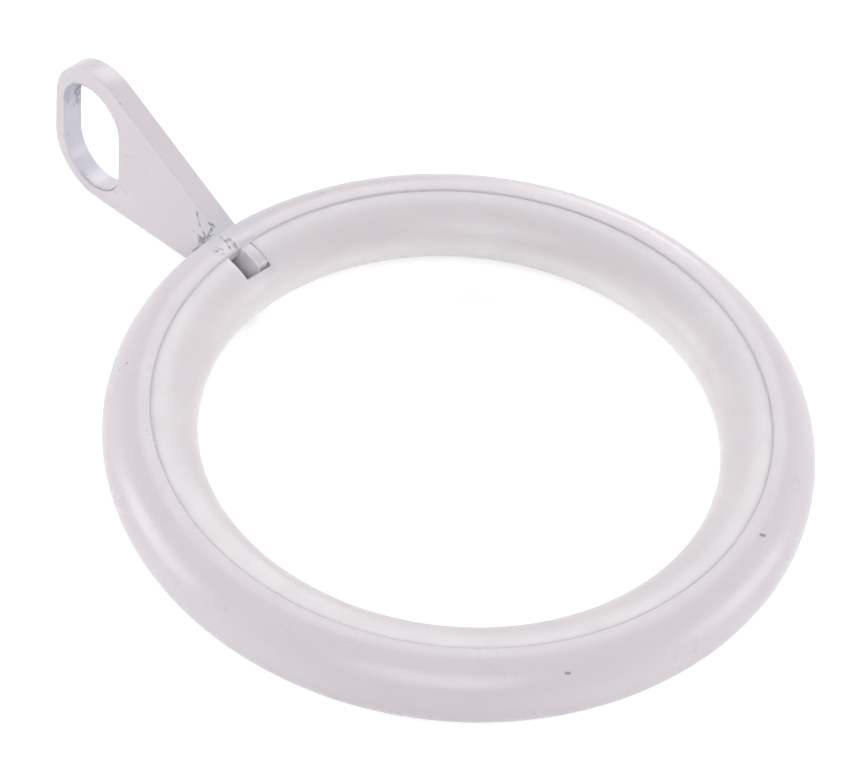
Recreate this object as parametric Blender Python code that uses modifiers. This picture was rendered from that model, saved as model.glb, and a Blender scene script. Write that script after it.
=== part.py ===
# Curtain ring: a C-section steel ring, a nylon liner in its channel and a flat
# eyelet whose tail passes between the ring's two ends into a slot in the liner.
#
# The ring lies flat. Its axis is +Z, the origin is its centre, half way
# through its thickness, and the eyelet points along +X.

import math

import bpy

MM = 0.001

# Ring shell, in millimetres
ring_diameter = 45.0        # over the outside of the steel
shell_width = 4.9           # across the C section, along the axis
shell_wall = 0.8            # thickness of the rolled sheet

# Liner
liner_dome = 2.9            # how far the dome stands in from its shoulders
liner_side_step = 0.1       # each side of the dome to the shell's side
liner_leg_depth = 1.5       # how far the legs reach into the channel
liner_leg_wall = 0.75       # each leg at its root
liner_leg_taper = 0.35      # how much narrower each leg is at its tip
liner_skin = 1.6            # dome thickness in front of the hollow back
rim_gap = 0.25              # between the shell's rims and the liner's shoulders
leg_gap = 0.28              # between the channel's walls and the legs
tail_slot_skin = 0.95       # nylon left between the bore and the slot for the eyelet's tail

# Eyelet
tab_thickness = 1.5
tab_edge_round = 0.3        # radius on every edge of the stamping
tail_inset = 1.2            # tail stops this far short of the liner's bore
tail_side_inset = 0.15      # and this far inside its two sides
root_angle_upper = 54.0     # where the tab's upper edge leaves the ring's section
root_angle_lower = 62.0     # and its lower edge
eye_reach = 11.5            # from the ring's outside to the middle of the eye
eye_rise = 1.9              # the eye's middle stands this far above mid-plane
eye_width = 5.3             # the slot, along the tab
eye_length = 8.4            # the slot, across the tab
heel_margin = 1.0           # metal round the slot's lower end
head_margin = 1.3           # metal round the slot's upper end
head_lift = 0.25            # the upper end's outside is centred this far above the slot's
head_back = 0.4             # and this far back towards the ring

# Fits at the joint
end_gap = 0.15              # each end of the shell to the eyelet's face
liner_gap_tight = 0.25      # the slot's wall to the eyelet on the -Y side
liner_gap_loose = 1.3       # the slot's wall to the eyelet on the +Y side

# Facets
turn_steps = 72
arc_steps = 10
rim_steps = 4
dome_steps = 12
eye_steps = 12

# Worked-out sizes
ring_radius = ring_diameter / 2
section_radius = shell_width / 2
section_centre = ring_radius - section_radius
channel_radius = section_radius - shell_wall
shoulder_radius = section_centre - shell_wall / 2 - rim_gap
bore_radius = shoulder_radius - liner_dome
liner_half_width = section_radius - liner_side_step


def arc(centre_r, centre_z, radius_r, radius_z, start, end, steps):
    # Points along an ellipse's arc, angles in degrees, both ends included.
    points = []
    for i in range(steps + 1):
        a = math.radians(start + (end - start) * i / steps)
        points.append((centre_r + radius_r * math.cos(a), centre_z + radius_z * math.sin(a)))
    return points


def shell_profile():
    # Down the outside, round the lower rim, up the channel, round the upper rim.
    rim = shell_wall / 2
    rim_height = section_radius - rim
    outside = arc(section_centre, 0, section_radius, section_radius, 90, -90, arc_steps + 2)
    lower_rim = arc(section_centre, -rim_height, rim, rim, -90, -270, rim_steps)
    channel = arc(section_centre, 0, channel_radius, channel_radius, -90, 90, arc_steps)
    upper_rim = arc(section_centre, rim_height, rim, rim, -90, -270, rim_steps)
    return outside + lower_rim[1:] + channel[1:] + upper_rim[1:-1]


def liner_profile():
    # Legs and hollow back from top to bottom, then up over the dome.
    leg_root = channel_radius - leg_gap
    leg_tip = leg_root - liner_leg_taper
    leg_inside = leg_root - liner_leg_wall
    leg_bend = section_centre + leg_gap
    leg_end = shoulder_radius + liner_leg_depth
    hollow_floor = bore_radius + liner_skin
    upper = [
        (shoulder_radius, leg_root),
        (leg_bend, leg_root),
        (leg_end, leg_tip),
        (leg_end, leg_inside),
        (hollow_floor, leg_inside),
    ]
    lower = [(r, -z) for r, z in reversed(upper)]
    dome = arc(shoulder_radius, 0, liner_dome, liner_half_width, -90, -270, dome_steps)
    return upper + lower + dome


def turned(name, profile, collection):
    # A closed section turned once about the ring's axis.
    mesh = bpy.data.meshes.new(name)
    count = len(profile)
    edges = [(i, (i + 1) % count) for i in range(count)]
    mesh.from_pydata([(r * MM, 0, z * MM) for r, z in profile], edges, [])
    obj = bpy.data.objects.new(name, mesh)
    collection.objects.link(obj)
    screw = obj.modifiers.new("Turn", "SCREW")
    screw.axis = "Z"
    screw.angle = math.tau
    screw.steps = turn_steps
    screw.render_steps = turn_steps
    screw.use_merge_vertices = True
    screw.merge_threshold = 0.00001
    screw.use_smooth_shade = True
    return obj


def joint_cutter(name, low_x, low_y, high_y, collection):
    # A block across the ring's +X side, outwards of low_x and between two planes of constant Y.
    high_x = ring_radius + section_radius
    bpy.ops.mesh.primitive_cube_add(size=1)
    cutter = bpy.context.object
    cutter.name = name
    size = ((high_x - low_x) * MM, (high_y - low_y) * MM, 2 * shell_width * MM)
    centre = ((low_x + high_x) / 2 * MM, (low_y + high_y) / 2 * MM, 0)
    for vertex in cutter.data.vertices:
        vertex.co = [centre[i] + vertex.co[i] * size[i] for i in range(3)]
    for other in list(cutter.users_collection):
        other.objects.unlink(cutter)
    collection.objects.link(cutter)
    cutter.hide_render = True
    cutter.display_type = "WIRE"
    return cutter


def cut(obj, cutter):
    boolean = obj.modifiers.new("Joint", "BOOLEAN")
    boolean.operation = "DIFFERENCE"
    boolean.solver = "EXACT"
    boolean.object = cutter


def tangent_angle(point, centre, radius, side):
    # Direction from a point to where its line touches a circle, on the given side.
    dx = centre[0] - point[0]
    dy = centre[1] - point[1]
    return math.atan2(dy, dx) + side * math.asin(radius / math.hypot(dx, dy))


def eye_centres():
    # The centres of the slot's two rounded ends, lower and upper.
    reach = ring_radius + eye_reach
    half = (eye_length - eye_width) / 2
    return (reach, eye_rise - half), (reach, eye_rise + half)


def eyelet_outline():
    # The whole stamping, inset by the edge radius that the curve's bevel adds back.
    inset = tab_edge_round
    body = section_radius - inset
    over_shell = arc(section_centre, 0, body, body, root_angle_upper, 90, arc_steps // 3)
    under_shell = arc(section_centre, 0, body, body, -90, -root_angle_lower, arc_steps // 3)
    lower_eye, upper_eye = eye_centres()
    heel = eye_width / 2 + heel_margin - inset
    head = eye_width / 2 + head_margin - inset
    head_centre = (upper_eye[0] - head_back, upper_eye[1] + head_lift)
    heel_start = math.degrees(tangent_angle(under_shell[-1], lower_eye, heel, -1)) - 90
    head_end = math.degrees(tangent_angle(over_shell[0], head_centre, head, 1)) + 90
    lean = math.atan2(head_centre[1] - lower_eye[1], head_centre[0] - lower_eye[0])
    side = math.degrees(lean) - 90
    swell = math.degrees(math.asin((heel - head) / math.dist(head_centre, lower_eye)))
    heel_arc = arc(*lower_eye, heel, heel, heel_start, side + swell, eye_steps // 2)
    head_arc = arc(*head_centre, head, head, side + swell, head_end, eye_steps)
    tail_depth = liner_dome - tail_inset - inset
    tail_half = liner_half_width - tail_side_inset - inset
    tail = arc(shoulder_radius, 0, tail_depth, tail_half, 90, 270, dome_steps)
    return heel_arc + head_arc + over_shell + tail + under_shell


def eye_outline():
    # The slot, larger by the edge radius that the curve's bevel takes up.
    radius = eye_width / 2 + tab_edge_round
    lower_eye, upper_eye = eye_centres()
    top = arc(*upper_eye, radius, radius, 0, 180, eye_steps)
    bottom = arc(*lower_eye, radius, radius, 180, 360, eye_steps)
    return top + bottom


def stamped(name, outlines, thickness, edge_round, collection):
    # A flat blank standing in the XZ plane, with rounded edges.
    curve = bpy.data.curves.new(name, "CURVE")
    curve.dimensions = "2D"
    curve.fill_mode = "BOTH"
    curve.extrude = (thickness / 2 - edge_round) * MM
    curve.bevel_depth = edge_round * MM
    curve.bevel_resolution = 1
    for outline in outlines:
        spline = curve.splines.new("POLY")
        spline.points.add(len(outline) - 1)
        for point, (x, y) in zip(spline.points, outline):
            point.co = (x * MM, y * MM, 0, 1)
        spline.use_cyclic_u = True
    obj = bpy.data.objects.new(name, curve)
    obj.rotation_euler = (math.radians(90), 0, 0)
    collection.objects.link(obj)
    weld = obj.modifiers.new("Caps", "WELD")
    weld.merge_threshold = 0.000001
    return obj


def finish(obj, colour, roughness, metallic):
    material = bpy.data.materials.new(obj.name + "_finish")
    material.use_nodes = True
    shader = material.node_tree.nodes["Principled BSDF"]
    shader.inputs["Base Color"].default_value = (*colour, 1)
    shader.inputs["Roughness"].default_value = roughness
    shader.inputs["Metallic"].default_value = metallic
    obj.data.materials.append(material)


def clear_scene():
    for obj in list(bpy.data.objects):
        bpy.data.objects.remove(obj, do_unlink=True)


def build():
    clear_scene()
    parts = bpy.data.collections.new("curtain_ring")
    cutters = bpy.data.collections.new("cutters")
    bpy.context.scene.collection.children.link(parts)
    bpy.context.scene.collection.children.link(cutters)
    half_tab = tab_thickness / 2

    shell = turned("ring_shell", shell_profile(), parts)
    joint = joint_cutter("shell_joint", bore_radius, -half_tab - end_gap, half_tab + end_gap, cutters)
    cut(shell, joint)
    finish(shell, (0.80, 0.78, 0.80), 0.3, 0.0)

    liner = turned("liner", liner_profile(), parts)
    slot_floor = bore_radius + tail_slot_skin
    tail_slot = joint_cutter(
        "tail_slot", slot_floor, -half_tab - liner_gap_tight, half_tab + liner_gap_loose, cutters)
    cut(liner, tail_slot)
    finish(liner, (0.86, 0.82, 0.78), 0.4, 0.0)

    eyelet = stamped("eyelet", [eyelet_outline(), eye_outline()], tab_thickness, tab_edge_round, parts)
    finish(eyelet, (0.78, 0.76, 0.80), 0.35, 0.0)


build()
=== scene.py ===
import math

import bmesh
import bpy
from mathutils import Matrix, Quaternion, Vector


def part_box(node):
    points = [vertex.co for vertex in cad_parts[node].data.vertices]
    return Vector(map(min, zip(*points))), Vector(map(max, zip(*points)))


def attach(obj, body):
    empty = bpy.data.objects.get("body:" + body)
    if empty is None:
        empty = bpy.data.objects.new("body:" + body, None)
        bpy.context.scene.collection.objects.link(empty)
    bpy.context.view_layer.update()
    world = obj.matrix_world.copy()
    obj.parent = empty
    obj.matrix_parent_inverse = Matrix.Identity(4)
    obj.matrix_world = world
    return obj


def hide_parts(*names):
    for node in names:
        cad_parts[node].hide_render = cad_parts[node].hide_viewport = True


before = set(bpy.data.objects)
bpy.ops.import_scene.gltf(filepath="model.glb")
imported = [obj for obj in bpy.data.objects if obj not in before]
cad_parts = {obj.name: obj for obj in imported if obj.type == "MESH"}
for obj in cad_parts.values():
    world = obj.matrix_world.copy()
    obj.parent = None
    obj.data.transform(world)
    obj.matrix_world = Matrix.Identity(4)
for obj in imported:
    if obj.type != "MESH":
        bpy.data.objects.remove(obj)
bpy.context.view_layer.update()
mm = 0.001
sameSpot = 0.001 * mm       # points nearer than this are one
cutSnap = 0.0001 * mm       # a cut uses points that lie this near it
print("frame loaded:", ", ".join(sorted(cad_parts)))


# Sizes read from the frame

def reachOf(vert):
    # Distance from the ring's axis.
    return math.hypot(vert.co.x, vert.co.y)


def vertsOf(node):
    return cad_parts[node].data.vertices


shellLow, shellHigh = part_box("ring_shell")
plateLow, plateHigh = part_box("eyelet")
ringRadius = max(reachOf(v) for v in vertsOf("ring_shell"))
sectionRadius = shellHigh.z
sectionCentre = ringRadius - sectionRadius
boreRadius = min(reachOf(v) for v in vertsOf("liner"))
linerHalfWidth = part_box("liner")[1].z
plateHalf = plateHigh.y


# Shared mesh helpers

def arcPoints(centre, radius, start, end, steps):
    # Points of an arc in the XZ plane, angles in degrees from +X.
    points = []
    for i in range(steps + 1):
        a = math.radians(start + (end - start) * i / steps)
        points.append(Vector((centre[0] + radius * math.cos(a), 0, centre[1] + radius * math.sin(a))))
    return points


def halfCircle(bm, centreX, radius, angle, steps):
    # A row of points over half the ring's section, from its top to its bottom.
    top = bm.verts.new((centreX, 0, radius))
    bmesh.ops.spin(bm, geom=[top], cent=(centreX, 0, 0), axis=(0, 1, 0), angle=angle, steps=steps)
    return max(bm.verts, key=lambda v: v.co.z), min(bm.verts, key=lambda v: v.co.z)


def extendTo(bm, vert, x, z):
    new = bmesh.ops.extrude_vert_indiv(bm, verts=[vert])["verts"][0]
    new.co = (x, 0, z)
    return new


def turnAboutAxis(bm, steps):
    # Sweeps the section once round the ring's axis.
    geom = bm.verts[:] + bm.edges[:]
    bmesh.ops.spin(
        bm, geom=geom, cent=(0, 0, 0), axis=(0, 0, 1), angle=math.tau, steps=steps, use_merge=True)
    bmesh.ops.remove_doubles(bm, verts=bm.verts[:], dist=sameSpot)
    bmesh.ops.recalc_face_normals(bm, faces=bm.faces[:])


def isAt(edge, axis, place):
    return all(abs(v.co[axis] - place) < sameSpot for v in edge.verts)


def sharpEdges(bm, degrees):
    angle = math.radians(degrees)
    return [e for e in bm.edges if len(e.link_faces) == 2 and e.calc_face_angle(0) > angle]


def roundEdges(bm, edges, radius, segments):
    bmesh.ops.bevel(
        bm, geom=edges, offset=radius, offset_type="OFFSET", affect="EDGES", segments=segments,
        profile=0.5, material=-1, clamp_overlap=True)


def splitNear(bm, place, normal, reach):
    # Cuts the faces near the joint along a plane, and takes none away.
    faces = []
    for face in bm.faces:
        middle = face.calc_center_median()
        if middle.x > boreRadius / 2 and abs(middle.y) < reach:
            faces.append(face)
    edges = list({e for f in faces for e in f.edges})
    verts = list({v for f in faces for v in f.verts})
    bmesh.ops.bisect_plane(
        bm, geom=faces + edges + verts, dist=cutSnap, plane_co=place, plane_no=normal)


def clearBetween(bm, floorX, lowY, highY):
    # Takes away the faces beyond a floor and between two planes of constant Y.
    gone = []
    for face in bm.faces:
        middle = face.calc_center_median()
        if middle.x > floorX and lowY < middle.y < highY:
            gone.append(face)
    bmesh.ops.delete(bm, geom=gone, context="FACES")


def cutNotch(bm, floorX, lowY, highY):
    # Opens the ring's +X side down to a floor, and closes the notch's three walls.
    for y in (lowY, highY):
        splitNear(bm, (0, y, 0), (0, 1, 0), 2 * highY)
    splitNear(bm, (floorX, 0, 0), (1, 0, 0), 2 * highY)
    clearBetween(bm, floorX, lowY, highY)
    rim = [e for e in bm.edges if e.is_boundary]
    walls, corners = [], []
    for y in (lowY, highY):
        wall = [e for e in rim if isAt(e, 1, y)]
        ends = {v for e in wall for v in e.verts if abs(v.co.x - floorX) < sameSpot}
        corners.append(bm.edges.new(sorted(ends, key=lambda v: v.co.z)))
        walls.append(wall + [corners[-1]])
    walls.append([e for e in rim if isAt(e, 0, floorX)] + corners)
    for wall in walls:
        bmesh.ops.contextual_create(bm, geom=wall)
    return [e for wall in walls for e in wall if e not in corners]


def openJoint(bm, lowY, highY):
    # Takes a stretch out of the ring's +X side, closes the two ends and returns their sharp edges.
    for y in (lowY, highY):
        splitNear(bm, (0, y, 0), (0, 1, 0), ringRadius)
    clearBetween(bm, 0, lowY, highY)
    bmesh.ops.holes_fill(bm, edges=[e for e in bm.edges if e.is_boundary], sides=0)
    sharp = [e for e in sharpEdges(bm, 50) if e.verts[0].co.x > 0]
    return [e for e in sharp if isAt(e, 1, lowY) or isAt(e, 1, highY)]


def makePiece(name, bm, material, body, node=None):
    bmesh.ops.recalc_face_normals(bm, faces=bm.faces[:])
    mesh = bpy.data.meshes.new(name)
    bm.to_mesh(mesh)
    bm.free()
    mesh.shade_smooth()
    mesh.materials.append(material)
    piece = bpy.data.objects.new(name, mesh)
    bpy.context.scene.collection.objects.link(piece)
    weighted = piece.modifiers.new("evenShading", "WEIGHTED_NORMAL")
    weighted.weight = 100
    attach(piece, body)
    if node:
        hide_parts(node)
    print("piece:", name, len(mesh.polygons), "faces")


# Shared material helpers

def newMaterial(name):
    material = bpy.data.materials.new(name)
    material.use_nodes = True
    tree = material.node_tree
    coordinates = tree.nodes.new("ShaderNodeTexCoord")
    return material, tree, tree.nodes["Principled BSDF"], coordinates.outputs["Object"]


def newGroup(name, inputs, outputs):
    tree = bpy.data.node_groups.new(name, "ShaderNodeTree")
    for label, kind, value in inputs:
        socket = tree.interface.new_socket(name=label, in_out="INPUT", socket_type=kind)
        if value is not None:
            socket.default_value = value
    for label, kind in outputs:
        tree.interface.new_socket(name=label, in_out="OUTPUT", socket_type=kind)
    return tree, tree.nodes.new("NodeGroupInput"), tree.nodes.new("NodeGroupOutput")


def fill(tree, socket, value):
    # Sets a socket to a fixed value, or links another node's output to it.
    if isinstance(value, (int, float)):
        socket.default_value = value
    elif isinstance(value, (tuple, Vector)):
        socket.default_value = (*value, 1) if socket.type == "RGBA" else value
    elif value is not None:
        tree.links.new(value, socket)


def placeGroup(tree, group, values):
    node = tree.nodes.new("ShaderNodeGroup")
    node.node_tree = group
    for label, value in values.items():
        fill(tree, node.inputs[label], value)
    return node


def mathNode(tree, operation, *values, clamp=False):
    node = tree.nodes.new("ShaderNodeMath")
    node.operation = operation
    node.use_clamp = clamp
    for socket, value in zip(node.inputs, values):
        fill(tree, socket, value)
    return node.outputs[0]


def combine(tree, operation, first, *others):
    # One operation over several values, from left to right.
    for other in others:
        first = mathNode(tree, operation, first, other)
    return first


def lengthOf(tree, a, b):
    total = mathNode(tree, "ADD", mathNode(tree, "MULTIPLY", a, a), mathNode(tree, "MULTIPLY", b, b))
    return mathNode(tree, "SQRT", total)


def vectorNode(tree, operation, a, b=None, scale=None):
    node = tree.nodes.new("ShaderNodeVectorMath")
    node.operation = operation
    fill(tree, node.inputs[0], a)
    fill(tree, node.inputs[1], b)
    if scale is not None:
        fill(tree, node.inputs["Scale"], scale)
    return node.outputs["Value" if operation in ("DOT_PRODUCT", "DISTANCE") else "Vector"]


def rampNode(tree, value, low, high, toLow=0.0, toHigh=1.0):
    # A smooth step from toLow at low to toHigh at high.
    node = tree.nodes.new("ShaderNodeMapRange")
    node.interpolation_type = "SMOOTHSTEP"
    labels = ("Value", "From Min", "From Max", "To Min", "To Max")
    for label, number in zip(labels, (value, low, high, toLow, toHigh)):
        fill(tree, node.inputs[label], number)
    return node.outputs["Result"]


def placeRamp(tree, value, step):
    # The same for a place on the object, with low and high in millimetres.
    low, high, toLow, toHigh = step
    return rampNode(tree, value, low * mm, high * mm, toLow, toHigh)


def noiseNode(tree, point, scale, detail=2.0, roughness=0.5, output="Fac"):
    node = tree.nodes.new("ShaderNodeTexNoise")
    values = {"Vector": point, "Scale": scale, "Detail": detail, "Roughness": roughness}
    for label, value in values.items():
        fill(tree, node.inputs[label], value)
    return node.outputs[output]


def mottle(tree, point, scale, low=0.3, high=0.7, toLow=0.0, toHigh=1.0, detail=3.0, roughness=0.5):
    # Noise spread between two values.
    return rampNode(tree, noiseNode(tree, point, scale, detail, roughness), low, high, toLow, toHigh)


def mixColours(tree, factor, a, b):
    node = tree.nodes.new("ShaderNodeMix")
    node.data_type = "RGBA"
    for socket, value in ((node.inputs[0], factor), (node.inputs[6], a), (node.inputs[7], b)):
        fill(tree, socket, value)
    return node.outputs[2]


def splitPoint(tree, point):
    node = tree.nodes.new("ShaderNodeSeparateXYZ")
    tree.links.new(point, node.inputs[0])
    return node.outputs


def addBump(tree, shader, height, distance):
    bump = tree.nodes.new("ShaderNodeBump")
    bump.inputs["Strength"].default_value = 1.0
    bump.inputs["Distance"].default_value = distance
    tree.links.new(height, bump.inputs["Height"])
    tree.links.new(bump.outputs["Normal"], shader.inputs["Normal"])


# White enamel on steel, with its damage as strokes down to the metal

enamelFinish = {
    "paint": (0.742, 0.70, 0.735),
    "driftPaint": (0.735, 0.665, 0.712),
    "driftShare": 0.55,
    # bluish tone of thin paint, which also stands in as painted reflection of the light
    "thinPaintAndReflection": (0.635, 0.63, 0.705),
    "steel": (0.15, 0.14, 0.18),
    "rubbedSteel": (0.30, 0.28, 0.31),
    "specular": 0.45,
    "roughness": (0.27, 0.36),
    "bareRoughness": 0.15,  # added where the steel shows
    "peelDepth": 0.004,     # mm
    "lumpShare": 2.2,       # height of the slow lumps against the fine peel
    "bareDepth": 2.0,       # how far the steel lies under the paint, against the fine peel
    "strokeSoft": 0.45,     # share of a stroke's width that is solid
    "raggedEdge": 0.25,     # mm that the damage's edges wander
    # Noise scales, in patterns per metre
    "driftScale": 110,
    "lumpScale": 320,
    "sheenScale": 420,
    "peelScale": 1500,
    "raggedScale": 1700,
    "steelScale": 2200,
}


def strokeGroup():
    # How much a point lies on a short scratch, chip or crack between two ends.
    tree, given, result = newGroup(
        "scratchStroke",
        [("Point", "NodeSocketVector", None), ("Start", "NodeSocketVector", None),
         ("End", "NodeSocketVector", None), ("Width", "NodeSocketFloat", 0.1 * mm)],
        [("Mask", "NodeSocketFloat")])
    point, start, end, width = (given.outputs[label] for label in ("Point", "Start", "End", "Width"))
    fromStart = vectorNode(tree, "SUBTRACT", point, start)
    along = vectorNode(tree, "SUBTRACT", end, start)
    travelled = vectorNode(tree, "DOT_PRODUCT", fromStart, along)
    whole = vectorNode(tree, "DOT_PRODUCT", along, along)
    share = mathNode(tree, "DIVIDE", travelled, whole, clamp=True)
    distance = vectorNode(tree, "DISTANCE", fromStart, vectorNode(tree, "SCALE", along, scale=share))
    widths = mathNode(tree, "DIVIDE", distance, width)
    mask = rampNode(tree, widths, enamelFinish["strokeSoft"], 1.0, 1.0, 0.0)
    tree.links.new(mask, result.inputs["Mask"])
    return tree


def paintFilmGroup():
    # Sprayed enamel: a slow drift of tone over a fine orange peel.
    tree, given, result = newGroup(
        "paintFilm",
        [("Point", "NodeSocketVector", None), ("Paint", "NodeSocketColor", (0.8, 0.8, 0.8, 1)),
         ("Thin Paint", "NodeSocketColor", (0.7, 0.7, 0.75, 1)), ("Thin", "NodeSocketFloat", 0.0)],
        [("Color", "NodeSocketColor"), ("Roughness", "NodeSocketFloat"), ("Height", "NodeSocketFloat")])
    point, paint, thinPaintAndReflection, thinAndReflection = (
        given.outputs[label] for label in ("Point", "Paint", "Thin Paint", "Thin"))
    drift = mottle(tree, point, enamelFinish["driftScale"])
    drift = mathNode(tree, "MULTIPLY", drift, enamelFinish["driftShare"])
    tone = mixColours(tree, drift, paint, enamelFinish["driftPaint"])
    # the Thin share mixes in a bluish tone that is painted reflection, where the paint is also thin
    tone = mixColours(tree, thinAndReflection, tone, thinPaintAndReflection)
    peel = noiseNode(tree, point, enamelFinish["peelScale"], 1)
    lumps = noiseNode(tree, point, enamelFinish["lumpScale"])
    height = mathNode(tree, "MULTIPLY_ADD", lumps, enamelFinish["lumpShare"], peel)
    smooth, dull = enamelFinish["roughness"]
    roughness = mottle(tree, point, enamelFinish["sheenScale"], toLow=smooth, toHigh=dull)
    for label, value in (("Color", tone), ("Roughness", roughness), ("Height", height)):
        tree.links.new(value, result.inputs[label])
    return tree


scratchStroke = strokeGroup()
paintFilm = paintFilmGroup()


def strokesMask(tree, point, strokes):
    # The union of several strokes, each (start, end, width) in millimetres.
    masks = []
    for start, end, width in strokes:
        stroke = placeGroup(tree, scratchStroke, {
            "Point": point, "Start": Vector(start) * mm, "End": Vector(end) * mm, "Width": width * mm})
        masks.append(stroke.outputs["Mask"])
    return combine(tree, "MAXIMUM", *masks)


def wobble(tree, point, scale, amount):
    # The point, shaken a little so that edges drawn from it are ragged.
    noise = noiseNode(tree, point, scale, 3, 0.6, "Color")
    centred = vectorNode(tree, "SUBTRACT", noise, (0.5, 0.5, 0.5))
    return vectorNode(tree, "ADD", point, vectorNode(tree, "SCALE", centred, scale=amount))


def enamelOverSteel(name, bare, thinAndReflection, recolour=None):
    material, tree, shader, point = newMaterial(name)
    ragged = wobble(tree, point, enamelFinish["raggedScale"], enamelFinish["raggedEdge"] * mm)
    film = placeGroup(tree, paintFilm, {
        "Point": point, "Paint": enamelFinish["paint"], "Thin Paint": enamelFinish["thinPaintAndReflection"],
        "Thin": thinAndReflection(tree, ragged)})
    colour, rough, height = (film.outputs[label] for label in ("Color", "Roughness", "Height"))
    if recolour:
        colour = recolour(tree, ragged, colour)
    bareMask = bare(tree, ragged)
    grain = noiseNode(tree, point, enamelFinish["steelScale"], 3)
    steel = mixColours(tree, grain, enamelFinish["steel"], enamelFinish["rubbedSteel"])
    colour = mixColours(tree, bareMask, colour, steel)
    rough = mathNode(tree, "MULTIPLY_ADD", bareMask, enamelFinish["bareRoughness"], rough)
    sunk = mathNode(tree, "MULTIPLY", bareMask, enamelFinish["bareDepth"])
    height = mathNode(tree, "SUBTRACT", height, sunk)
    tree.links.new(colour, shader.inputs["Base Color"])
    tree.links.new(rough, shader.inputs["Roughness"])
    shader.inputs["Specular IOR Level"].default_value = enamelFinish["specular"]
    addBump(tree, shader, height, enamelFinish["peelDepth"] * mm)
    return material


# Ring shell: half a tube of sheet steel, bent to a ring

shellSpec = {
    "wall": 0.8,
    "rimRound": 0.12,
    "flange": 0.56,         # flat edge inside the half circle
    "lap": 0.45,            # how far each end runs into the eyelet's welded edge
    "endRound": 0.06,
    "sectionSteps": 36,
    "turnSteps": 288,
    "specks": [             # place and size
        ((-19.87, -6.02, 2.35), 0.16), ((-18.92, 10.36, 1.92), 0.14), ((9.39, -15.44, 1.44), 0.13),
        ((16.83, 13.01, 2.12), 0.12), ((-3.1, 21.6, 0.9), 0.12), ((-14.0, -15.2, 2.2), 0.10),
    ],
    "speckShare": 0.75,
    "cracks": [             # start, end and width
        ((21.3, 0.88, 2.12), (20.6, 1.08, 2.38), 0.08),
        ((20.6, 1.08, 2.38), (19.8, 1.38, 2.43), 0.15),
        ((20.5, 0.80, 2.41), (19.7, 1.00, 2.42), 0.22),
    ],
    "crackBreaks": {
        "scale": 2400, "low": 0.40, "high": 0.56, "toLow": 0.10, "toHigh": 0.8, "detail": 4,
        "roughness": 0.6},
    "patch": [((20.25, 2.05, 2.44), (19.85, 2.15, 2.44), 0.42)],
    "patchBreaks": {"scale": 3200, "low": 0.50, "high": 0.60, "toHigh": 0.7, "roughness": 0.6},
    # Steps: from and to in mm, then the shares there
    # where the bluish painted reflection tints the thin paint near the joint
    "tintAcross": (1.0, 3.6, 1.0, 0.0),
    "tintSide": (0.0, 10.0, 0.0, 1.0),
    "tintMottle": {"scale": 600, "toLow": 0.5},
    "tintShare": 0.7,
    "rimStep": (19.5, 20.9, 0.95, 0.0),
    "rimTone": (0.655, 0.61, 0.65),
}


def shellBare(tree, point):
    specks = []
    for (x, y, z), size in shellSpec["specks"]:
        specks.append(((x, y, z), (x + size, y + size, z), size))
    specks = mathNode(tree, "MULTIPLY", strokesMask(tree, point, specks), shellSpec["speckShare"])
    cracks = strokesMask(tree, point, shellSpec["cracks"])
    cracks = mathNode(tree, "MULTIPLY", cracks, mottle(tree, point, **shellSpec["crackBreaks"]))
    patch = strokesMask(tree, point, shellSpec["patch"])
    patch = mathNode(tree, "MULTIPLY", patch, mottle(tree, point, **shellSpec["patchBreaks"]))
    return combine(tree, "MAXIMUM", specks, cracks, patch)


def shellThinAndReflection(tree, point):
    # The paint is thin near the joint, and its bluish tint there is painted reflection of the light.
    x, y, z = splitPoint(tree, point)
    across = placeRamp(tree, mathNode(tree, "ABSOLUTE", y), shellSpec["tintAcross"])
    side = placeRamp(tree, x, shellSpec["tintSide"])
    patchy = mottle(tree, point, **shellSpec["tintMottle"])
    return combine(tree, "MULTIPLY", across, side, patchy, shellSpec["tintShare"])


def shellRim(tree, point, colour):
    # The paint draws back from the rims, and a little of the steel's grey shows.
    x, y, z = splitPoint(tree, point)
    share = placeRamp(tree, lengthOf(tree, x, y), shellSpec["rimStep"])
    return mixColours(tree, share, colour, shellSpec["rimTone"])


def buildShell():
    joint = plateHalf - shellSpec["lap"] * mm
    bm = bmesh.new()
    for end in halfCircle(bm, sectionCentre, sectionRadius, math.pi, shellSpec["sectionSteps"]):
        extendTo(bm, end, sectionCentre - shellSpec["flange"] * mm, end.co.z)
    turnAboutAxis(bm, shellSpec["turnSteps"])
    # The wall grows inwards, so the open sheet has to face outwards first.
    outermost = max(bm.faces, key=lambda f: f.calc_center_median().x)
    if outermost.normal.x < 0:
        bmesh.ops.reverse_faces(bm, faces=bm.faces[:])
    bmesh.ops.solidify(bm, geom=bm.faces[:], thickness=shellSpec["wall"] * mm)
    bmesh.ops.recalc_face_normals(bm, faces=bm.faces[:])
    roundEdges(bm, sharpEdges(bm, 60), shellSpec["rimRound"] * mm, 5)
    endRims = openJoint(bm, -joint, joint)
    roundEdges(bm, endRims, shellSpec["endRound"] * mm, 2)
    material = enamelOverSteel("ringEnamel", shellBare, shellThinAndReflection, shellRim)
    makePiece("ring_shell_painted", bm, material, "ring", "ring_shell")


# Liner: a nylon glide snapped into the channel, notched at its back for the eyelet's tail

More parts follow.
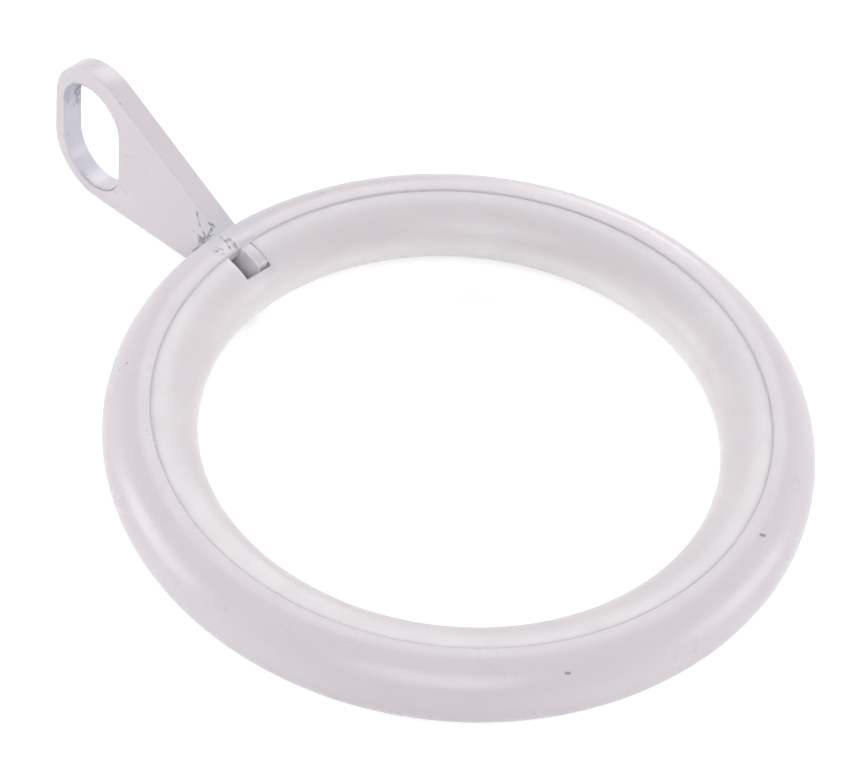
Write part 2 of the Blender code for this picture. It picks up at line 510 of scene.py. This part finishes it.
linerSpec = {
    "legDepth": 1.5,
    "legWall": 0.75,
    "legTaper": 0.35,
    "legGap": 0.28,
    "skin": 1.6,
    "shoulderOut": 0.11,    # the soft shoulder presses out to the shell's rim
    "shoulderRound": 0.06,
    "notchSkin": 0.95,      # nylon left in front of the eyelet's tail
    "tightSide": -0.68,     # notch to eyelet on the -Y side, where the tail is thinned
    "looseSide": 1.3,       # notch to eyelet on the +Y side
    "notchRound": 0.2,
    "domeSteps": 40,
    "turnSteps": 288,
    # lower half painted brighter as floor-bounced light; upper half greyed as painted shade, partly the
    # steel behind
    "nylon": (0.96, 0.925, 0.92),
    "nylonShadedOverSteel": (0.745, 0.705, 0.73),
    "upperShadeStep": (-0.9, 1.6, 0.0, 1.0),
    "cloud": {"scale": 160, "toLow": -0.12, "toHigh": 0.12},
    "roughness": {"scale": 500, "toLow": 0.34, "toHigh": 0.46},
    "lineScale": 2600,      # marks of the mould, drawn out round the ring
    "lineArc": 0.25,        # mm of pattern for each radian
    "softScale": 700,
    "softShare": 0.8,
    "bumpDepth": 0.006,
    "milkiness": 0.5,
    "milkDepth": 1.2,       # mm that light travels under the surface
    "milkRadius": (1.0, 0.9, 0.8),
    "ior": 1.5,
}


def nylon():
    material, tree, shader, point = newMaterial("milkyNylon")
    x, y, z = splitPoint(tree, point)
    # Painted shade greys the upper half, partly also the steel seen through the nylon; the lower half is
    # painted brighter as light bounced up from the floor.
    upperShade = placeRamp(tree, z, linerSpec["upperShadeStep"])
    upperShade = mathNode(tree, "ADD", upperShade, mottle(tree, point, **linerSpec["cloud"]), clamp=True)
    colour = mixColours(tree, upperShade, linerSpec["nylon"], linerSpec["nylonShadedOverSteel"])
    drawn = tree.nodes.new("ShaderNodeCombineXYZ")
    turned = mathNode(tree, "MULTIPLY", mathNode(tree, "ARCTAN2", y, x), linerSpec["lineArc"] * mm)
    for socket, value in zip(drawn.inputs, (turned, lengthOf(tree, x, y), z)):
        tree.links.new(value, socket)
    lines = noiseNode(tree, drawn.outputs[0], linerSpec["lineScale"])
    soft = noiseNode(tree, point, linerSpec["softScale"], 3)
    height = mathNode(tree, "MULTIPLY_ADD", soft, linerSpec["softShare"], lines)
    tree.links.new(colour, shader.inputs["Base Color"])
    tree.links.new(mottle(tree, point, **linerSpec["roughness"]), shader.inputs["Roughness"])
    shader.inputs["Subsurface Weight"].default_value = linerSpec["milkiness"]
    shader.inputs["Subsurface Radius"].default_value = linerSpec["milkRadius"]
    shader.inputs["Subsurface Scale"].default_value = linerSpec["milkDepth"] * mm
    shader.inputs["IOR"].default_value = linerSpec["ior"]
    addBump(tree, shader, height, linerSpec["bumpDepth"] * mm)
    return material


def buildLiner():
    topVerts = [v for v in vertsOf("liner") if v.co.z > 0.98 * linerHalfWidth]
    shoulder = max(reachOf(v) for v in topVerts) + linerSpec["shoulderOut"] * mm
    legRoot = sectionRadius - (shellSpec["wall"] + linerSpec["legGap"]) * mm
    legEnd = shoulder + (linerSpec["legDepth"] - linerSpec["shoulderOut"]) * mm
    legInside = legRoot - linerSpec["legWall"] * mm
    legPath = [
        (shoulder, legRoot),
        (sectionCentre + linerSpec["legGap"] * mm, legRoot),
        (legEnd, legRoot - linerSpec["legTaper"] * mm),
        (legEnd, legInside),
        (boreRadius + linerSpec["skin"] * mm, legInside),
    ]
    bm = bmesh.new()
    upper, lower = halfCircle(bm, shoulder, linerHalfWidth, -math.pi, linerSpec["domeSteps"])
    for vert in bm.verts:
        vert.co.x = shoulder + (vert.co.x - shoulder) * (shoulder - boreRadius) / linerHalfWidth
    for x, z in legPath:
        upper = extendTo(bm, upper, x, z)
        lower = extendTo(bm, lower, x, -z)
    bm.edges.new((upper, lower))
    turnAboutAxis(bm, linerSpec["turnSteps"])
    shoulderZ = 0.95 * linerHalfWidth
    shoulders = [e for e in sharpEdges(bm, 50) if min(abs(v.co.z) for v in e.verts) > shoulderZ]
    roundEdges(bm, shoulders, linerSpec["shoulderRound"] * mm, 4)
    lowY = -plateHalf - linerSpec["tightSide"] * mm
    highY = plateHalf + linerSpec["looseSide"] * mm
    notchRim = cutNotch(bm, boreRadius + linerSpec["notchSkin"] * mm, lowY, highY)
    notchRim = [e for e in notchRim if e.calc_face_angle(0) > math.radians(35)]
    roundEdges(bm, notchRim, linerSpec["notchRound"] * mm, 3)
    makePiece("liner_nylon", bm, nylon(), "liner", "liner")


# Eyelet: a stamped steel tab, its tail held in the ring's joint

plateSpec = {
    "edgeRound": 0.3,
    "crest": 0.02,          # how far its edge stands proud of the shell
    "shoulderIn": 0.65,     # from the middle of the section in to the tail
    "tailSpan": 0.80,       # thickness left in the tail, on its +Y side
    "tailStep": (0.58, 0.63),
    "tailInset": 1.2,
    "tailSideInset": 0.03,
    "rootUpper": 54,        # degrees round the section where the tab's edges leave it
    "rootLower": 62,
    "reach": 11.5,
    "rise": 1.9,
    "slotWidth": 5.3,
    "slotLength": 8.4,
    "heelMargin": 1.0,
    "headMargin": 1.3,
    "headLift": 0.25,
    "headBack": 0.4,
    "arcSteps": 20,
    "rootSteps": 10,
    "cracks": [             # start, end and width, on the +Y face
        ((23.66, 0.75, 2.48), (23.34, 0.75, 1.55), 0.13),
        ((22.48, 0.75, 2.29), (21.85, 0.75, 2.41), 0.17),
        ((22.20, 0.75, 2.05), (22.53, 0.75, 1.10), 0.15),
        ((22.95, 0.75, 1.15), (22.62, 0.75, 0.62), 0.16),
        ((22.53, 0.75, 0.85), (23.15, 0.75, 0.25), 0.30),
        ((23.26, 0.75, 0.45), (23.20, 0.75, -0.31), 0.24),
        ((23.10, 0.75, -0.35), (23.85, 0.75, -1.28), 0.22),
        ((23.45, 0.75, 0.55), (23.30, 0.75, -0.10), 0.12),
        ((31.15, 0.75, 6.95), (31.22, 0.75, 6.85), 0.09),
        ((31.80, 0.75, 3.50), (31.86, 0.75, 3.58), 0.08),
    ],
    "crackBreaks": {
        "scale": 2400, "low": 0.36, "high": 0.52, "toLow": 0.25, "detail": 4, "roughness": 0.6},
    "patch": [((36.38, -0.50, 4.55), (36.62, -0.45, 3.65), 0.58)],
    "patchBreaks": {
        "scale": 2600, "low": 0.40, "high": 0.50, "toLow": 0.25, "detail": 4, "roughness": 0.65},
    "smears": [
        ((36.45, -0.1, 4.5), (36.65, 0.1, 3.2), 0.75),
        ((36.62, -0.5, 3.3), (36.65, -0.3, 2.6), 0.5),
    ],
    "smearBreaks": {
        "scale": 1900, "low": 0.52, "high": 0.62, "toHigh": 0.55, "detail": 4, "roughness": 0.65},
    "bareShare": 0.85,
    # Steps: from and to in mm, then the shares there
    "bareWall": (0.05, 0.12, 1.0, 0.0),
    "hairlineAt": 0.05,     # mm outside the slot's edge
    "hairlineAway": (0.03, 0.07, 1.0, 0.0),
    "hairlineSide": (0.35, 0.55, 0.0, 1.0),
    "hairlineLow": (-1.3, 0.6, 0.9, 0.0),
    "hairlineInner": (34.6, 35.6, 1.0, 0.0),
    "hairlineHigh": (5.0, 5.8, 0.0, 0.45),
    "hairlineBreaks": {"scale": 700, "low": 0.38, "high": 0.6, "toLow": 0.55},
    # where the bluish painted reflection tints the thin paint in the slot and at the root
    "tintWall": (0.05, 0.3, 1.0, 0.0),
    "tintOuter": (33.0, 35.5, 0.35, 1.0),
    "tintRoot": (22.0, 24.6, 0.8, 0.0),
    "tintMottle": {"scale": 500, "toLow": 0.6},
    "wornTone": (0.42, 0.43, 0.53),
    "wornWall": (0.05, 0.25, 1.0, 0.0),
    "wornHigh": (2.4, 4.4, 0.0, 0.7),
    "wornOuter": (34.0, 35.0, 0.0, 1.0),
    # grey as painted shade of the tail's recess inside the ring
    "tailShadeTone": (0.66, 0.64, 0.67),
    "tailFrom": (19.2, 19.9, 0.8, 0.0),
    # brighter as painted light on the tail's +Y face seen through the notch
    "paintedLightTone": (0.94, 0.93, 0.99),
    "paintedLightFrom": (20.4, 21.2, 1.0, 0.0),
    "paintedLightSide": (0.66, 0.74, 0.0, 1.0),
}


def slotCentres():
    reach = ringRadius + plateSpec["reach"] * mm
    half = (plateSpec["slotLength"] - plateSpec["slotWidth"]) / 2 * mm
    rise = plateSpec["rise"] * mm
    return (reach, rise - half), (reach, rise + half)


def tangentTo(point, centre, radius, side):
    # Direction in degrees from a point to where its line touches a circle.
    dx, dz = centre[0] - point.x, centre[1] - point.z
    return math.degrees(math.atan2(dz, dx) + side * math.asin(radius / math.hypot(dx, dz)))


def tailOutline():
    # The tail follows the liner's dome, from its upper shoulder round to its lower one.
    shoulder = sectionCentre - plateSpec["shoulderIn"] * mm
    end = boreRadius + plateSpec["tailInset"] * mm
    half = linerHalfWidth - plateSpec["tailSideInset"] * mm
    points = []
    for i in range(plateSpec["arcSteps"] + 1):
        x = shoulder + (end - shoulder) * i / plateSpec["arcSteps"]
        z = half * math.sqrt(1 - ((shoulder - x) / (shoulder - boreRadius)) ** 2)
        points.append(Vector((x, 0, z)))
    return points + [Vector((p.x, 0, -p.z)) for p in reversed(points)]


def plateOutline():
    steps, rootSteps = plateSpec["arcSteps"], plateSpec["rootSteps"]
    lowerEye, upperEye = slotCentres()
    heel = (plateSpec["slotWidth"] / 2 + plateSpec["heelMargin"]) * mm
    head = (plateSpec["slotWidth"] / 2 + plateSpec["headMargin"]) * mm
    headCentre = (upperEye[0] - plateSpec["headBack"] * mm, upperEye[1] + plateSpec["headLift"] * mm)
    crest = sectionRadius + plateSpec["crest"] * mm
    rimX = sectionCentre - shellSpec["flange"] * mm
    overShell = arcPoints((sectionCentre, 0), crest, plateSpec["rootUpper"], 90, rootSteps)
    underShell = arcPoints((sectionCentre, 0), crest, -90, -plateSpec["rootLower"], rootSteps)
    overShell.append(Vector((rimX, 0, crest)))
    underShell.insert(0, Vector((rimX, 0, -crest)))
    heelStart = tangentTo(underShell[-1], lowerEye, heel, -1) - 90
    headEnd = tangentTo(overShell[0], headCentre, head, 1) + 90
    dx, dz = headCentre[0] - lowerEye[0], headCentre[1] - lowerEye[1]
    across = math.degrees(math.atan2(dz, dx) + math.asin((heel - head) / math.hypot(dx, dz))) - 90
    heelArc = arcPoints(lowerEye, heel, heelStart, across, steps)
    headArc = arcPoints(headCentre, head, across, headEnd, steps * 2)
    return heelArc + headArc + overShell + tailOutline() + underShell


def slotOutline():
    radius = plateSpec["slotWidth"] / 2 * mm
    lowerEye, upperEye = slotCentres()
    steps = plateSpec["arcSteps"]
    return arcPoints(upperEye, radius, 0, 180, steps) + arcPoints(lowerEye, radius, 180, 360, steps)


def slotDistance(tree, point):
    # How far a point lies outside the slot's edge, seen from the side.
    x, y, z = splitPoint(tree, point)
    lowerEye, upperEye = slotCentres()
    middle = (lowerEye[1] + upperEye[1]) / 2
    half = (upperEye[1] - lowerEye[1]) / 2
    side = mathNode(tree, "SUBTRACT", x, lowerEye[0])
    along = mathNode(tree, "ABSOLUTE", mathNode(tree, "SUBTRACT", z, middle))
    along = mathNode(tree, "MAXIMUM", mathNode(tree, "SUBTRACT", along, half), 0.0)
    return mathNode(tree, "SUBTRACT", lengthOf(tree, side, along), plateSpec["slotWidth"] / 2 * mm)


def slotHairline(tree):
    # A hairline of worn paint round the slot on the +Y side, from the unshaken point.
    point = tree.nodes.new("ShaderNodeTexCoord").outputs["Object"]
    x, y, z = splitPoint(tree, point)
    away = mathNode(tree, "SUBTRACT", slotDistance(tree, point), plateSpec["hairlineAt"] * mm)
    near = placeRamp(tree, mathNode(tree, "ABSOLUTE", away), plateSpec["hairlineAway"])
    side = placeRamp(tree, y, plateSpec["hairlineSide"])
    low = placeRamp(tree, z, plateSpec["hairlineLow"])
    low = mathNode(tree, "MULTIPLY", low, placeRamp(tree, x, plateSpec["hairlineInner"]))
    ends = mathNode(tree, "MAXIMUM", low, placeRamp(tree, z, plateSpec["hairlineHigh"]))
    broken = mottle(tree, point, **plateSpec["hairlineBreaks"])
    return combine(tree, "MULTIPLY", near, side, ends, broken)


def plateBare(tree, point):
    masks = {}
    damages = (("cracks", "crackBreaks"), ("patch", "patchBreaks"), ("smears", "smearBreaks"))
    for damage, breaks in damages:
        strokes = strokesMask(tree, point, plateSpec[damage])
        masks[damage] = mathNode(tree, "MULTIPLY", strokes, mottle(tree, point, **plateSpec[breaks]))
    onWall = placeRamp(tree, slotDistance(tree, point), plateSpec["bareWall"])
    rubbed = mathNode(tree, "MAXIMUM", masks["patch"], masks["smears"])
    rubbed = mathNode(tree, "MULTIPLY", rubbed, onWall)
    mask = combine(tree, "MAXIMUM", masks["cracks"], rubbed, slotHairline(tree))
    return mathNode(tree, "MULTIPLY", mask, plateSpec["bareShare"])


def plateThinAndReflection(tree, point):
    # Thin paint in the slot's wall and round the root, tinted bluish as painted reflection of the light.
    x, y, z = splitPoint(tree, point)
    wall = placeRamp(tree, slotDistance(tree, point), plateSpec["tintWall"])
    wall = mathNode(tree, "MULTIPLY", wall, placeRamp(tree, x, plateSpec["tintOuter"]))
    thinAndReflection = mathNode(tree, "MAXIMUM", wall, placeRamp(tree, x, plateSpec["tintRoot"]))
    return mathNode(tree, "MULTIPLY", thinAndReflection, mottle(tree, point, **plateSpec["tintMottle"]))


def plateTones(tree, point, colour):
    # Handled paint at the top of the slot; painted shade greys the tail inside the ring, and painted
    # light brightens its +Y face in the notch.
    x, y, z = splitPoint(tree, point)
    onWall = placeRamp(tree, slotDistance(tree, point), plateSpec["wornWall"])
    worn = combine(
        tree, "MULTIPLY", onWall, placeRamp(tree, z, plateSpec["wornHigh"]),
        placeRamp(tree, x, plateSpec["wornOuter"]))
    tailShade = placeRamp(tree, x, plateSpec["tailFrom"])
    paintedLightSide = placeRamp(tree, y, plateSpec["paintedLightSide"])
    paintedLightSide = mathNode(tree, "MULTIPLY", placeRamp(tree, x, plateSpec["paintedLightFrom"]), paintedLightSide)
    for share, tone in ((worn, "wornTone"), (tailShade, "tailShadeTone"), (paintedLightSide, "paintedLightTone")):
        colour = mixColours(tree, share, colour, plateSpec[tone])
    return colour


def thinTail(bm):
    # Steps the plate down to the tail and squeezes the tail towards +Y.
    for inward in plateSpec["tailStep"]:
        place = (sectionCentre - inward * mm, 0, 0)
        geom = bm.verts[:] + bm.edges[:] + bm.faces[:]
        bmesh.ops.bisect_plane(bm, geom=geom, dist=cutSnap, plane_co=place, plane_no=(1, 0, 0))
    tailFrom = sectionCentre - max(plateSpec["tailStep"]) * mm + sameSpot
    for vert in bm.verts:
        if vert.co.x < tailFrom:
            depth = (plateHalf - vert.co.y) / (2 * plateHalf)
            vert.co.y = plateHalf - depth * plateSpec["tailSpan"] * mm


def buildPlate():
    bm = bmesh.new()
    for outline in (plateOutline(), slotOutline()):
        verts = [bm.verts.new((p.x, -plateHalf, p.z)) for p in outline]
        for i, vert in enumerate(verts):
            bm.edges.new((vert, verts[(i + 1) % len(verts)]))
    bmesh.ops.remove_doubles(bm, verts=bm.verts[:], dist=0.01 * mm)
    bmesh.ops.triangle_fill(bm, edges=bm.edges[:], use_beauty=True, normal=(0, -1, 0))
    inner = [e for e in bm.edges if len(e.link_faces) == 2]
    bmesh.ops.dissolve_limit(bm, angle_limit=math.radians(1), verts=[], edges=inner)
    grown = bmesh.ops.extrude_face_region(bm, geom=bm.faces[:])["geom"]
    farSide = [g for g in grown if isinstance(g, bmesh.types.BMVert)]
    bmesh.ops.translate(bm, verts=farSide, vec=(0, 2 * plateHalf, 0))
    bmesh.ops.recalc_face_normals(bm, faces=bm.faces[:])
    roundEdges(bm, sharpEdges(bm, 60), plateSpec["edgeRound"] * mm, 5)
    thinTail(bm)
    material = enamelOverSteel("eyeletEnamel", plateBare, plateThinAndReflection, plateTones)
    makePiece("eyelet_plate", bm, material, "ring", "eyelet")


# Paint that bridges the joint, a small bead on each side of the tab

beadSpec = {
    "leg": 0.55,            # how far the bead climbs the shell and the tab
    "spread": 0.15,         # and how much further over the shell
    "sag": (0.33, 0.40),    # middle of its face, in legs out and across
    "intoTab": 0.02,
    "intoShell": 0.03,
    "from": -56,            # degrees round the section
    "to": 47,
    "steps": 48,
    "ripple": 0.15,
    "rippleTurn": 19,       # radians of ripple along the bead
    "least": 0.06,          # size left at its ends
    "chips": [
        ((22.45, 0.95, 0.3), (22.2, 1.0, 1.2), 0.16),
        ((21.6, 1.0, 1.9), (21.3, 1.1, 2.1), 0.12),
        ((22.3, 1.0, -0.9), (22.45, 0.9, -0.3), 0.12),
    ],
    "chipShare": 0.8,
}


def beadBare(tree, point):
    return mathNode(tree, "MULTIPLY", strokesMask(tree, point, beadSpec["chips"]), beadSpec["chipShare"])


def buildBead(name, side, material):
    leg = beadSpec["leg"] * mm
    face = plateHalf - beadSpec["intoTab"] * mm
    under = sectionRadius - beadSpec["intoShell"] * mm
    sagOut, sagAcross = beadSpec["sag"]
    overShell = leg + beadSpec["spread"] * mm
    bm = bmesh.new()
    corners = []
    for out, across in ((0, 0), (leg, 0), (sagOut * leg, sagAcross * leg), (0, overShell)):
        corners.append(bm.verts.new((sectionCentre + under + out, side * (face + across), 0)))
    for i, corner in enumerate(corners):
        bm.edges.new((corner, corners[(i + 1) % len(corners)]))
    start = math.radians(beadSpec["from"])
    sweep = math.radians(beadSpec["to"]) - start
    tilt = Quaternion((0, 1, 0), -start).to_matrix()
    bmesh.ops.rotate(bm, verts=bm.verts[:], cent=(sectionCentre, 0, 0), matrix=tilt)
    bmesh.ops.spin(
        bm, geom=bm.verts[:] + bm.edges[:], cent=(sectionCentre, 0, 0), axis=(0, 1, 0), angle=-sweep,
        steps=beadSpec["steps"])
    bmesh.ops.holes_fill(bm, edges=[e for e in bm.edges if e.is_boundary], sides=0)
    for vert in bm.verts:
        dx, dz = vert.co.x - sectionCentre, vert.co.z
        out, turn = math.hypot(dx, dz), math.atan2(dz, dx)
        share = (turn - start) / sweep
        wave = math.sin(beadSpec["rippleTurn"] * share + 2 * side)
        ripple = 1 - beadSpec["ripple"] + beadSpec["ripple"] * wave
        swell = max(math.sqrt(max(0.0, math.sin(math.pi * share))) * ripple, beadSpec["least"])
        out = under + (out - under) * swell
        across = side * face + (vert.co.y - side * face) * swell
        vert.co = (sectionCentre + out * math.cos(turn), across, out * math.sin(turn))
    makePiece(name, bm, material, "ring")


# Stage: floor, light and camera

stageSpec = {
    "floorSize": 3.0,
    "floorGap": 0.02,       # mm under the eyelet's heel
    "floorTone": (0.90, 0.90, 0.905),
    "floorRoughness": 0.9,
    "floorGlow": 0.45,
    "worldTone": (1.0, 0.995, 1.0),
    "worldLight": 0.10,
    "aim": (2.98, 0.0, 1.85),
    "azimuth": 130.66,
    "elevation": 46.54,
    "roll": 5.54,
    "distance": 225.0,
    "lens": 149.9,
    "lamps": [              # name, azimuth, elevation, distance in m, size in m, watts
        ("frontSoftbox", 130, 45, 0.60, 0.35, 1.80),
        ("leftSoftbox", 220, 12, 0.60, 0.35, 1.55),
        ("backSoftbox", 310, 45, 0.60, 0.35, 1.50),
        ("rightSoftbox", 40, 12, 0.60, 0.35, 1.60),
        ("edgeSoftbox", 300, 16, 0.60, 0.16, 0.40),
    ],
}


def directionTo(azimuth, elevation):
    a, e = math.radians(azimuth), math.radians(elevation)
    return Vector((math.cos(e) * math.cos(a), math.cos(e) * math.sin(a), math.sin(e)))


def seenByEye(tree):
    # One for the rays that only look, and not for those that light the object.
    path = tree.nodes.new("ShaderNodeLightPath")
    rays = ("Is Camera Ray", "Is Glossy Ray", "Is Transmission Ray")
    return combine(tree, "MAXIMUM", *(path.outputs[ray] for ray in rays))


def buildFloor():
    # The ring lies on the eyelet's heel and its own far side, so the floor slopes a little.
    heelX = slotCentres()[0][0]
    slope = (plateLow.z - shellLow.z) / (heelX + sectionCentre)
    bpy.ops.mesh.primitive_plane_add(size=stageSpec["floorSize"])
    floor = bpy.context.object
    floor.name = "floor"
    for vert in floor.data.vertices:
        vert.co.z = plateLow.z - stageSpec["floorGap"] * mm + (vert.co.x - heelX) * slope
    material, tree, shader, point = newMaterial("paleFloor")
    shader.inputs["Base Color"].default_value = (*stageSpec["floorTone"], 1)
    shader.inputs["Roughness"].default_value = stageSpec["floorRoughness"]
    shader.inputs["Specular IOR Level"].default_value = 0.0
    shader.inputs["Emission Color"].default_value = (1, 1, 1, 1)
    glow = mathNode(tree, "MULTIPLY", seenByEye(tree), stageSpec["floorGlow"])
    tree.links.new(glow, shader.inputs["Emission Strength"])
    floor.data.materials.append(material)


def buildLight():
    world = bpy.data.worlds.new("paleStudio")
    bpy.context.scene.world = world
    world.use_nodes = True
    tree = world.node_tree
    background = tree.nodes["Background"]
    background.inputs["Color"].default_value = (*stageSpec["worldTone"], 1)
    least = stageSpec["worldLight"]
    strength = mathNode(tree, "MULTIPLY_ADD", seenByEye(tree), 1.0 - least, least)
    tree.links.new(strength, background.inputs["Strength"])
    for name, azimuth, elevation, distance, size, watts in stageSpec["lamps"]:
        data = bpy.data.lights.new(name, "AREA")
        data.size = size
        data.energy = watts
        lamp = bpy.data.objects.new(name, data)
        away = directionTo(azimuth, elevation)
        lamp.location = away * distance
        lamp.rotation_euler = away.to_track_quat("Z", "Y").to_euler()
        bpy.context.scene.collection.objects.link(lamp)


def buildCamera():
    data = bpy.data.cameras.new("camera")
    data.lens = stageSpec["lens"]
    data.sensor_width = 36.0
    data.clip_start = 0.01
    data.clip_end = 10.0
    camera = bpy.data.objects.new("camera", data)
    away = directionTo(stageSpec["azimuth"], stageSpec["elevation"])
    roll = Quaternion((0, 0, 1), math.radians(stageSpec["roll"]))
    camera.location = Vector(stageSpec["aim"]) * mm + away * stageSpec["distance"] * mm
    camera.rotation_euler = (away.to_track_quat("Z", "Y") @ roll).to_euler()
    bpy.context.scene.collection.objects.link(camera)
    bpy.context.scene.camera = camera


buildShell()
buildLiner()
buildPlate()
beadEnamel = enamelOverSteel("beadEnamel", beadBare, plateThinAndReflection)
buildBead("joint_bead_near", 1, beadEnamel)
buildBead("joint_bead_far", -1, beadEnamel)
buildFloor()
buildLight()
buildCamera()
bpy.context.scene.view_settings.view_transform = "Standard"
print("stage and camera ready")
